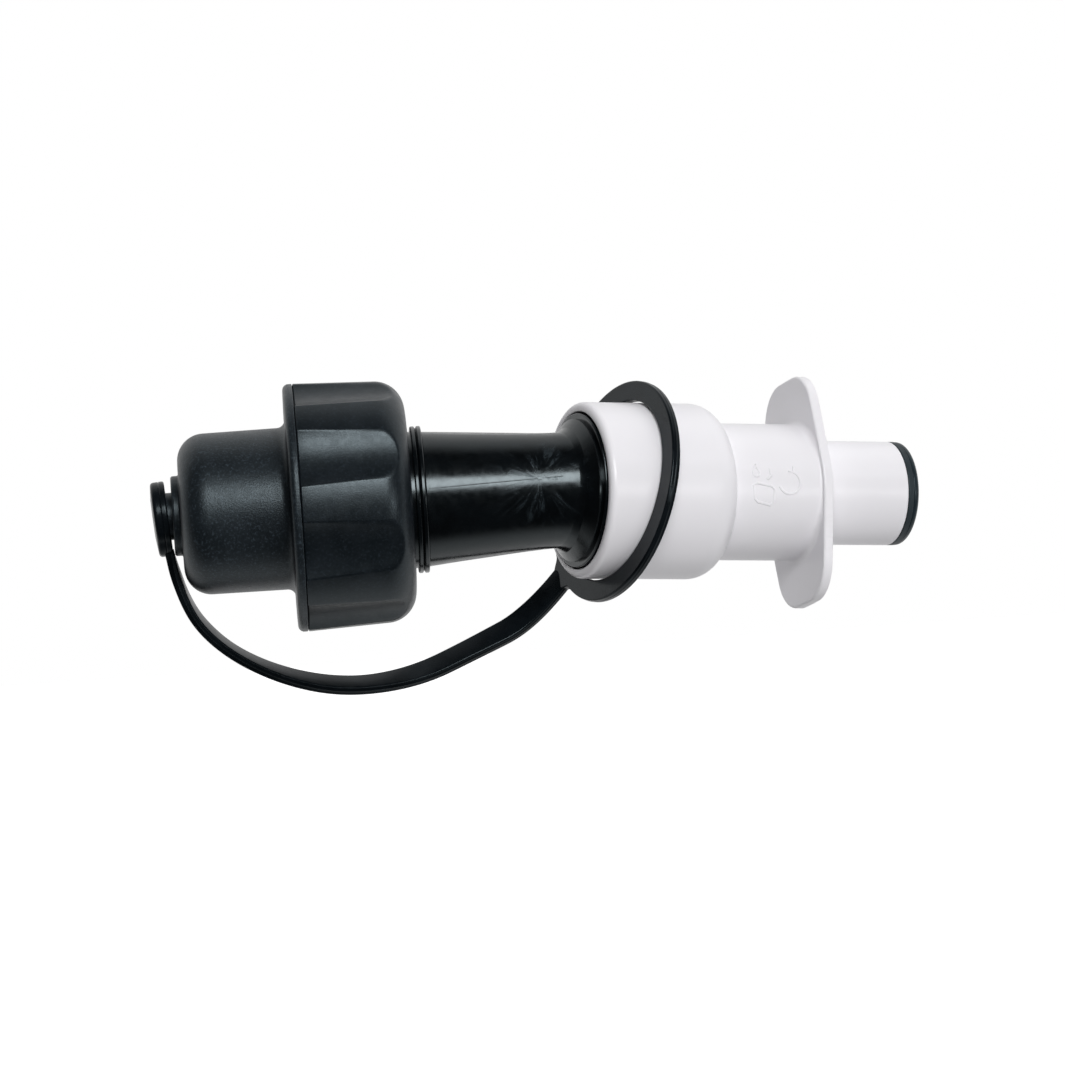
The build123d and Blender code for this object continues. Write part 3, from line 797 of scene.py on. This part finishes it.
def strap_half(name, points, start, whole):
    """A flat strap along points, whose first point lies start along the whole strap's length."""
    frames = []
    travelled = start
    last = len(points) - 1
    for index, point in enumerate(points):
        along = (points[min(index + 1, last)] - points[max(index - 1, 0)]).normalized()
        level = (Vector((0, 1, 0)) - along * along.y).normalized()
        inward = along.cross(level)
        twist = twist_at(travelled / whole)
        side = level * math.cos(twist) + inward * math.sin(twist)
        frames.append((side, side.cross(along)))
        if index < last:
            travelled += (points[index + 1] - point).length
    return swept(points, frames, strap_section())


def run_length(points):
    return sum((after - before).length for before, after in zip(points, points[1:]))


def make_strap():
    route = [Vector(point) for point in STRAP_ROUTE]
    middle = (route[STRAP_SPLIT_RUN] + route[STRAP_SPLIT_RUN + 1]) / 2
    cap_points = spline_points("strap_cap_line", route[: STRAP_SPLIT_RUN + 1] + [middle])
    ring_points = spline_points("strap_ring_line", [middle] + route[STRAP_SPLIT_RUN + 1 :])
    cap_length, ring_length = run_length(cap_points), run_length(ring_points)
    whole = cap_length + ring_length
    halves = [
        ("tether_strap_cap_side", cap_points, 0, cap_length, "tether_end", "tether_strap_cap_half"),
        ("tether_strap_ring_side", ring_points, cap_length, ring_length, "ring", "tether_strap_ring_half"),
    ]
    for name, points, start, length, body, node in halves:
        piece = finish_piece(name, *strap_half(name, points, start, whole), "tether_black", None, (node,))
        path = [point * MM for point in points]
        loose, fixed = (path[0], path[-1]) if start == 0 else (path[-1], path[0])
        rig.blend(piece, body, "spout", start=loose, end=fixed)
        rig.cord(
            piece,
            exit=loose,
            length=length * MM,
            diameter=STRAP_WIDTH * MM,
            far_end="object",
            stiffness="medium",
            lay="hanging",
            path=path if start == 0 else path[::-1],
        )


make_strap()


# ---- Tether ring and eyelet ---------------------------------------------------------------------------
RING_PLAY = 0.45  # room for the ring's thickness, as it sits aslant on the collar
RING_INNER_ROUND = 0.35
RING_OUTER_ROUND = 0.45
RING_LINE = 0.14  # half the width of the parting line round the rim
RING_LINE_HEIGHT = 0.08
RING_TAB_HALF = 0.085  # radians
RING_TAB_BLEND = 0.12
RING_STEPS = 360

EYELET_STEPS = 180
EYELET_TONGUE = 1.2
EYELET_TONGUE_HALF = 0.25  # radians
EYELET_TONGUE_BLEND = 0.55
EYELET_HOLE_ROUND = 0.3
EYELET_LIP_ROUND = 0.5
EYELET_SEAM = 0.7
EYELET_SEAM_HALF = 0.2
EYELET_SEAM_DEPTH = 0.16
EYELET_DRAFT = 0.02
EYELET_RIM_ROUND = 0.85
EYELET_CROWN = (4.5, 2.5)  # radius and rounding
EYELET_CROWN_RISE = 0.05
EYELET_CAVITY_ROUND = 0.2


def lobe(angle, half_width, blend_width):
    """1 within half_width of angle 0, falling smoothly to 0 over blend_width. Radians."""
    away = abs(math.remainder(angle, FULL_TURN))
    return 1 - smooth_step((away - half_width) / blend_width)


def make_ring():
    centre = elbow + tip_axis * RING_CENTRE_S - Vector((0, 0, RING_DROP))
    towards = (RING_TAB_DIRECTION - RING_NORMAL * RING_TAB_DIRECTION.dot(RING_NORMAL)).normalized()
    upright = RING_NORMAL.cross(towards)
    turn = Matrix((RING_NORMAL, towards, upright)).transposed()
    place = Matrix.Translation(centre) @ turn.to_4x4()
    from_axis = centre - elbow
    start = from_axis - tip_axis * from_axis.dot(tip_axis)

    def snug_hole(angle):
        """The distance, in the ring's plane, at which the hole meets a cylinder just clear of the collar."""
        out = towards * math.cos(angle) + upright * math.sin(angle)
        across = out - tip_axis * out.dot(tip_axis)
        a, b = across.dot(across), start.dot(across)
        c = start.dot(start) - (COLLAR_RADIUS + RING_PLAY) ** 2
        return (-b + math.sqrt(b * b - a * c)) / a

    def outline(angle):
        tab = lobe(angle, RING_TAB_HALF, RING_TAB_BLEND)
        outer = RING_RADIUS + (RING_TAB_END - RING_RADIUS) * tab
        hole = min(snug_hole(angle), RING_HOLE)
        return rounded([
            (-RING_HALF, hole, RING_INNER_ROUND),
            (-RING_HALF, outer, RING_OUTER_ROUND),
            (-RING_LINE, outer),
            (0, outer + RING_LINE_HEIGHT),
            (RING_LINE, outer),
            (RING_HALF, outer, RING_OUTER_ROUND),
            (RING_HALF, hole, RING_INNER_ROUND),
        ])

    hoop = turned(place, outline, even_angles(RING_STEPS))
    finish_piece("tether_ring_hoop", *hoop, "tether_black", "ring", ("tether_ring",))


def make_eyelet():
    place = Matrix.Translation((EYELET_X, 0, 0)) @ Matrix.Rotation(EYELET_TILT, 4, "Y")
    down = -math.pi / 2
    crown, crown_round = EYELET_CROWN

    def outline(angle):
        tongue = EYELET_TONGUE * lobe(angle - down, EYELET_TONGUE_HALF, EYELET_TONGUE_BLEND)
        outer = EYELET_RADIUS + tongue
        return rounded([
            (EYELET_LIP_END, EYELET_HOLE, EYELET_HOLE_ROUND),
            (EYELET_LIP_END, outer, EYELET_LIP_ROUND),
            (EYELET_SEAM + EYELET_SEAM_HALF, outer - EYELET_DRAFT),
            (EYELET_SEAM, outer - EYELET_SEAM_DEPTH),
            (EYELET_SEAM - EYELET_SEAM_HALF, outer - EYELET_DRAFT),
            (EYELET_RIM, outer - 2 * EYELET_DRAFT, EYELET_RIM_ROUND),
            (EYELET_TIP, crown + tongue / 2, crown_round),
            (EYELET_TIP - EYELET_CROWN_RISE, 0),
            (-EYELET_CAVITY, 0),
            (-EYELET_CAVITY, EYELET_CAVITY_RADIUS, EYELET_CAVITY_ROUND),
            (EYELET_CAVITY, EYELET_CAVITY_RADIUS, EYELET_CAVITY_ROUND),
            (EYELET_CAVITY, EYELET_HOLE, EYELET_CAVITY_ROUND),
        ])

    button = turned(place, outline, even_angles(EYELET_STEPS))
    finish_piece("tether_eyelet_button", *button, "tether_black", "tether_end", ("tether_eyelet",))


make_ring()
make_eyelet()


# ---- Coupling nut ------------------------------------------------------------------------------------
FLUTE_OFFSET = NUT_RADIUS - FLUTE_DEPTH + FLUTE_RADIUS
FLUTE_SOFTNESS = 0.22  # how far the flutes' edges are rounded
NUT_MOUTH_ROUND = 0.4
NUT_TURN = math.radians(-1.2)
NUT_FAR_FACE = 20.0  # a ring of points on the far face, between the hole and the shoulder
SHOULDER_STEPS = 26
WALL_STEPS = 8
THREAD_STEPS = 72
FLUTE_EDGE = 14.3  # degrees from a flute's middle to its edge
EDGE_ZONE = (0.9, 1.1)  # the flute's edge lies between these shares of that angle
FLOOR_STEPS = 8
EDGE_STEPS = 14
LAND_STEPS = 4


def flute_angles():
    """Angles round the nut, closer together at the flutes' edges."""
    near, far = [FLUTE_EDGE * share for share in EDGE_ZONE]
    half = [near * step / FLOOR_STEPS for step in range(FLOOR_STEPS)]
    half += [near + (far - near) * step / EDGE_STEPS for step in range(EDGE_STEPS)]
    half += [far + (180 / FLUTES - far) * step / LAND_STEPS for step in range(LAND_STEPS + 1)]
    one = [-angle for angle in reversed(half[1:-1])] + half
    return [
        NUT_TURN + FULL_TURN * (index + 0.5) / FLUTES + math.radians(angle) + math.pi / 2
        for index in range(FLUTES)
        for angle in one
    ]


def flute_floor(angle):
    """The cutting cylinder's surface at an angle, or far out where it doesn't reach."""
    step = FULL_TURN / FLUTES
    off = math.remainder(angle - NUT_TURN - math.pi / 2 - step / 2, step)
    reach = FLUTE_RADIUS**2 - (FLUTE_OFFSET * math.sin(off)) ** 2
    return FLUTE_OFFSET * math.cos(off) - math.sqrt(max(reach, 0))


def soft_min(first, second, softness):
    share = min(max(0.5 + 0.5 * (second - first) / softness, 0), 1)
    return second + (first - second) * share - softness * share * (1 - share)


def nut_outline(angle):
    floor = flute_floor(angle)
    wall_start, wall_end = NUT_MOUTH + NUT_MOUTH_ROUND, NUT_FAR - NUT_SHOULDER
    outside = []
    for step in range(WALL_STEPS + 1):
        share = step / WALL_STEPS
        x = wall_start + (wall_end - wall_start) * share
        outside.append((x, NUT_RADIUS + (NUT_FAR_RADIUS - NUT_RADIUS) * share))
    for step in range(1, SHOULDER_STEPS + 1):
        turn = math.pi / 2 * step / SHOULDER_STEPS
        x = wall_end + NUT_SHOULDER * math.sin(turn)
        outside.append((x, NUT_FAR_RADIUS - NUT_SHOULDER * (1 - math.cos(turn))))
    outside = [(x, soft_min(r, floor, FLUTE_SOFTNESS)) for x, r in outside]
    edge = outside[0][1]
    mouth = [(NUT_MOUTH, NUT_MOUTH_BORE + NUT_MOUTH_ROUND), (NUT_MOUTH, (NUT_MOUTH_BORE + edge) / 2)]
    for step in range(ARC_STEPS):
        turn = math.pi / 2 * (1 - step / ARC_STEPS)
        x = NUT_MOUTH + NUT_MOUTH_ROUND * (1 - math.sin(turn))
        mouth.append((x, edge - NUT_MOUTH_ROUND * (1 - math.cos(turn))))
    seat_start, seat_end = NUT_SEAT
    bores = [
        (NUT_FAR, NUT_FAR_FACE),
        (NUT_FAR, NUT_NECK_HOLE),
        (seat_end, NUT_NECK_HOLE),
        (seat_end, NUT_SEAT_BORE),
        (seat_start, NUT_SEAT_BORE),
        (seat_start, THREAD_RADIUS),
        (0, THREAD_RADIUS),
        (0, NUT_MOUTH_BORE),
        (wall_start, NUT_MOUTH_BORE),
    ]
    return mouth + outside + bores


def thread_route():
    start, end = THREAD_SPAN
    steps = round((end - start) / THREAD_PITCH * THREAD_STEPS)
    route = []
    for step in range(steps + 1):
        route.append((start + (end - start) * step / steps, FULL_TURN * step / THREAD_STEPS))
    return route


nut_body = turned(NECK_FRAME, nut_outline, flute_angles())
finish_piece("nut_body", *nut_body, "nut_black", "nut", ("coupling_nut",))
nut_thread = wrapped_stroke(NECK_FRAME, lambda x: THREAD_RADIUS, thread_route(), THREAD_WIDTH, -THREAD_HEIGHT)
finish_piece("nut_thread", *nut_thread, "nut_black", "nut")


# ---- Slide sleeve --------------------------------------------------------------------------------------
WING_CIRCLES = [(0, 0, WING_CENTRE_RADIUS)] + [
    (across * WING_CORNER_ACROSS, along * WING_CORNER_ALONG, WING_CORNER_RADIUS)
    for across in (-1, 1)
    for along in (-1, 1)
]
WING_REACH = 88  # degrees either side, over which a tangent may limit the plate's edge
WING_ROOT = (0.4, 1.4)  # the fillet at the plate's root, at its least and its most
WING_ROOT_ROOM = 0.75
WING_EDGE_ROUND = 0.6
WING_FAR_ROUND = 0.3
TIP_ROOT = 1.4
TIP_ROUND = 0.3
TIP_BORE_ROUND = 0.2
COLLAR_BORE_ROUND = 0.4
COLLAR_ROUND = 1.6
SLEEVE_STEPS = 288


def wing_radius(angle):
    """The plate's edge at an angle: the hull of its circles is the least of their joint tangents."""
    reach = math.inf
    for step in range(-WING_REACH, WING_REACH + 1, 2):
        facing = angle + math.radians(step)
        tangent = max(y * math.cos(facing) + z * math.sin(facing) + r for y, z, r in WING_CIRCLES)
        reach = min(reach, tangent / math.cos(math.radians(step)))
    return reach


def sleeve_outline(angle):
    plate = wing_radius(angle)
    least, most = WING_ROOT
    root = min(max(plate - MID_RADIUS - WING_ROOT_ROOM, least), most)
    shoulder_centre = (COLLAR_END, COLLAR_RADIUS - SHOULDER_ROUND)
    meet = math.acos((MID_RADIUS - shoulder_centre[1]) / SHOULDER_ROUND)
    shoulder = []
    for step in range(SHOULDER_STEPS + 1):
        turn = meet * step / SHOULDER_STEPS
        shoulder.append((
            shoulder_centre[0] + SHOULDER_ROUND * math.sin(turn),
            shoulder_centre[1] + SHOULDER_ROUND * math.cos(turn),
        ))
    collar = [
        (CAVITY_END, LEDGE_RADIUS),
        (CAVITY_END, COLLAR_BORE),
        (0, COLLAR_BORE, COLLAR_BORE_ROUND),
        (0, COLLAR_RADIUS, COLLAR_ROUND),
    ]
    rest = [
        (WING_START, MID_RADIUS, root),
        (WING_START, plate, WING_EDGE_ROUND),
        (WING_END, plate, WING_FAR_ROUND),
        (WING_END, TIP_RADIUS, TIP_ROOT),
        (TIP_END, TIP_RADIUS, TIP_ROUND),
        (TIP_END, TIP_BORE, TIP_BORE_ROUND),
        (MID_BORE_END, TIP_BORE),
        (MID_BORE_END, MID_BORE),
        (MID_BORE_START, MID_BORE),
    ]
    return rounded(collar + shoulder + rest)


sleeve_shell = turned(TIP_FRAME, sleeve_outline, even_angles(SLEEVE_STEPS))
finish_piece("sleeve_shell", *sleeve_shell, "sleeve_white", "sleeve", ("slide_sleeve",))


# ---- Sleeve's symbols: a generic drop, a can with its spout and a turning arrow -----------------------
SYMBOL_WIDTH = 0.75
SYMBOL_HEIGHT = 0.22
SYMBOL_FACING = math.radians(-170)  # round the sleeve, from its own Y
# Points are (along, around) in millimetres
CAN_OUTLINE = [
    (40.6, 0.8),
    (41.6, 1.4),
    (45.6, 0.6),
    (46.4, -0.2),
    (46.2, -3.4),
    (45.4, -4.2),
    (41.8, -3.4),
    (41.0, -2.6),
]
CAN_SPOUT = [(44.4, 2.2), (45.6, 3.3), (45.4, 5.2)]
ARROW_HEAD = [(50.4, 4.6), (51.7, 4.3), (52.0, 5.7)]
ARROW_CENTRE = (50.6, 1.6)
ARROW_RADIUS = 2.9
ARROW_ARC = (-160, 70)  # degrees
ARROW_STEPS = 24
DROP_CENTRE = (41.6, 4.6)
DROP_SIZE = 1.5
DROP_WIDTH = 0.8
DROP_POINT = 1.5  # the higher, the longer its point
DROP_STEPS = 40


def symbol(name, points, closed=False):
    route = [(x, SYMBOL_FACING - around / MID_RADIUS) for x, around in points]
    stroke = wrapped_stroke(TIP_FRAME, lambda x: MID_RADIUS, route, SYMBOL_WIDTH, SYMBOL_HEIGHT, closed)
    finish_piece(name, *stroke, "sleeve_white", "sleeve")


def drop_points():
    x, around = DROP_CENTRE
    points = []
    for index in range(DROP_STEPS):
        turn = FULL_TURN * index / DROP_STEPS
        width = DROP_WIDTH * DROP_SIZE * math.sin(turn) * math.sin(turn / 2) ** DROP_POINT
        points.append((x + width, around + DROP_SIZE * math.cos(turn)))
    return points


def arrow_points():
    x, around = ARROW_CENTRE
    start, end = ARROW_ARC
    turns = [math.radians(start + (end - start) * step / ARROW_STEPS) for step in range(ARROW_STEPS + 1)]
    return [(x + ARROW_RADIUS * math.cos(turn), around + ARROW_RADIUS * math.sin(turn)) for turn in turns]


symbol("sleeve_mark_drop", drop_points(), closed=True)
symbol("sleeve_mark_can", CAN_OUTLINE, closed=True)
symbol("sleeve_mark_spout", CAN_SPOUT)
symbol("sleeve_mark_arc", arrow_points())
symbol("sleeve_mark_arrow", ARROW_HEAD)


# ---- Neck's moulding marks -----------------------------------------------------------------------------
PARTING_SPAN = (25.0, 58.5)
PARTING_FACING = (-188.6, -193.7)  # degrees round the neck, at the line's two ends
PARTING_STEPS = 30
PARTING_WIDTH = 0.26
PARTING_HEIGHT = 0.13
GATE_X = 52.6
GATE_FACING = math.radians(-192.7)
GATE_HALF = 0.5
GATE_HEIGHT = 0.12


def neck_radius(x):
    for (low, before), (high, after) in zip(NECK_CONE, NECK_CONE[1:]):
        if x <= high:
            return before + (after - before) * (x - low) / (high - low)
    return NECK_CONE[-1][1]


def parting_route():
    """The parting line's points (x, angle)."""
    (start, end), (first, last) = PARTING_SPAN, map(math.radians, PARTING_FACING)
    shares = [step / PARTING_STEPS for step in range(PARTING_STEPS + 1)]
    return [(start + (end - start) * share, first + (last - first) * share) for share in shares]


parting = wrapped_stroke(NECK_FRAME, neck_radius, parting_route(), PARTING_WIDTH, PARTING_HEIGHT)
finish_piece("neck_parting_line", *parting, "neck_black", "spout")
gate_route = [(GATE_X - GATE_HALF, GATE_FACING), (GATE_X + GATE_HALF, GATE_FACING)]
gate = wrapped_stroke(NECK_FRAME, neck_radius, gate_route, 2 * GATE_HALF, GATE_HEIGHT)
finish_piece("neck_gate_mark", *gate, "neck_black", "spout")


# ---- Return spring: a coil that shortens as the sleeve is pressed --------------------------------------
SPRING_STEPS = 264
SPRING_SECTION = 12


def make_spring():
    foot, head = SPRING_SPAN
    first, last = foot + SPRING_WIRE / 2, head - SPRING_WIRE / 2
    rise = (last - first) / (FULL_TURN * SPRING_TURNS)
    turn = TIP_FRAME.to_3x3()
    centres, frames = [], []
    for step in range(SPRING_STEPS + 1):
        share = step / SPRING_STEPS
        angle = FULL_TURN * SPRING_TURNS * share
        out = Vector((0, math.cos(angle), math.sin(angle)))
        along = Vector((rise, -math.sin(angle) * SPRING_RADIUS, math.cos(angle) * SPRING_RADIUS))
        centres.append(TIP_FRAME @ (Vector((first + (last - first) * share, 0, 0)) + out * SPRING_RADIUS))
        frames.append((turn @ along.normalized().cross(out), turn @ out))
    around = even_angles(SPRING_SECTION)
    section = [(SPRING_WIRE / 2 * math.cos(angle), SPRING_WIRE / 2 * math.sin(angle)) for angle in around]
    coil = swept(centres, frames, section)
    spring = finish_piece("return_spring_coil", *coil, "spring_steel", "spout", ("return_spring",))
    anchor = (elbow + tip_axis * foot) * MM
    keep = 1 - PRESS_TRAVEL / (head - foot)
    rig.squash(spring, "sleeve_press", axis=tuple(tip_axis), anchor=tuple(anchor), keep=keep)


make_spring()


# ---- Studio ---------------------------------------------------------------------------------------
FRONT_LEVEL = 0.035
BACK_LEVEL = 0.75
BACK_DIRECTION = (0.15, 0.95, -0.12)
HORIZON = 0.25  # half the width of the change from front to back
FLOOR_HALF = 6.0  # metres
FLOOR_LEVEL = -0.17  # metres
FLOOR_PATCH = 0.4  # metres
FLOOR_TONES = ((0.86, 0.86, 0.86), (0.9, 0.9, 0.9))
FLOOR_ROUGH = 0.9
# Name; azimuth and elevation from the spout in degrees; distance, width and height in metres; watts;
# whether it is seen in reflections
SOFTBOXES = [
    ("key", 8, 25, 1.3, 0.7, 0.42, 10.5, True),
    ("soft", 14, 8, 1.3, 0.9, 0.6, 3.2, False),
    ("side", 40, -1, 1.4, 0.5, 0.16, 1.8, True),
    ("top", 120, 68, 1.2, 0.9, 0.7, 3.6, False),
    ("below", 14, -40, 1.2, 1.2, 0.8, 3.6, False),
]


def make_world():
    """White behind the spout and dim before it, as reflections and fill see it; plain white to the camera."""
    world = bpy.data.worlds.new("studio")
    bpy.context.scene.world = world
    world.use_nodes = True
    tree = world.node_tree
    add = tree.nodes.new
    towards = add("ShaderNodeVectorMath")
    towards.operation = "DOT_PRODUCT"
    towards.inputs[1].default_value = BACK_DIRECTION
    tree.links.new(add("ShaderNodeTexCoord").outputs["Generated"], towards.inputs[0])
    level = add("ShaderNodeMapRange")
    level.interpolation_type = "SMOOTHSTEP"
    for name, value in zip(RANGE_SOCKETS, (-HORIZON, HORIZON, FRONT_LEVEL, BACK_LEVEL)):
        level.inputs[name].default_value = value
    tree.links.new(towards.outputs["Value"], level.inputs["Value"])
    seen = add("ShaderNodeMix")
    seen.inputs["B"].default_value = 1.0
    tree.links.new(add("ShaderNodeLightPath").outputs["Is Camera Ray"], seen.inputs["Factor"])
    tree.links.new(level.outputs["Result"], seen.inputs["A"])
    background = tree.nodes["Background"]
    background.inputs["Color"].default_value = (1, 1, 1, 1)
    tree.links.new(seen.outputs["Result"], background.inputs["Strength"])


def make_lights():
    for name, azimuth, elevation, distance, width, height, power, reflected in SOFTBOXES:
        a, e = math.radians(azimuth), math.radians(elevation)
        away = Vector((math.sin(a) * math.cos(e), -math.cos(a) * math.cos(e), math.sin(e)))
        light = bpy.data.lights.new(name, "AREA")
        light.shape = "RECTANGLE"
        light.size, light.size_y, light.energy = width, height, power
        lamp = bpy.data.objects.new(name, light)
        lamp.location = CAMERA_TARGET + away * distance
        lamp.rotation_mode = "QUATERNION"
        lamp.rotation_quaternion = (-away).to_track_quat("-Z", "Y")
        lamp.visible_glossy = reflected
        bpy.context.scene.collection.objects.link(lamp)


def make_floor():
    """A wide, very pale floor, well below the hanging tether. It doesn't change the spout's lighting."""
    mesh = bpy.data.meshes.new("floor")
    corners = [(x * FLOOR_HALF, y * FLOOR_HALF, FLOOR_LEVEL) for x, y in ((-1, -1), (1, -1), (1, 1), (-1, 1))]
    mesh.from_pydata(corners, [], [(0, 1, 2, 3)])
    floor = bpy.data.objects.new("floor", mesh)
    bpy.context.scene.collection.objects.link(floor)
    nodes = Nodes("floor_pale")
    tone = nodes.mix(nodes.noise(FLOOR_PATCH, detail=3.0), *FLOOR_TONES)
    nodes.link(tone, nodes.shader.inputs["Base Color"])
    nodes.link(tone, nodes.shader.inputs["Emission Color"])
    nodes.shader.inputs["Emission Strength"].default_value = 1.0
    nodes.shader.inputs["Roughness"].default_value = FLOOR_ROUGH
    mesh.materials.append(nodes.material)
    floor.visible_diffuse = False
    floor.visible_glossy = False
    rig.stage(floor)


make_world()
make_lights()
make_floor()
bpy.context.scene.view_settings.view_transform = "Standard"

low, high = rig.bounds()
with open("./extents.json", "w") as size_file:
    json.dump({"cad": [list(cad_low), list(cad_high)], "visual": [list(low), list(high)]}, size_file)
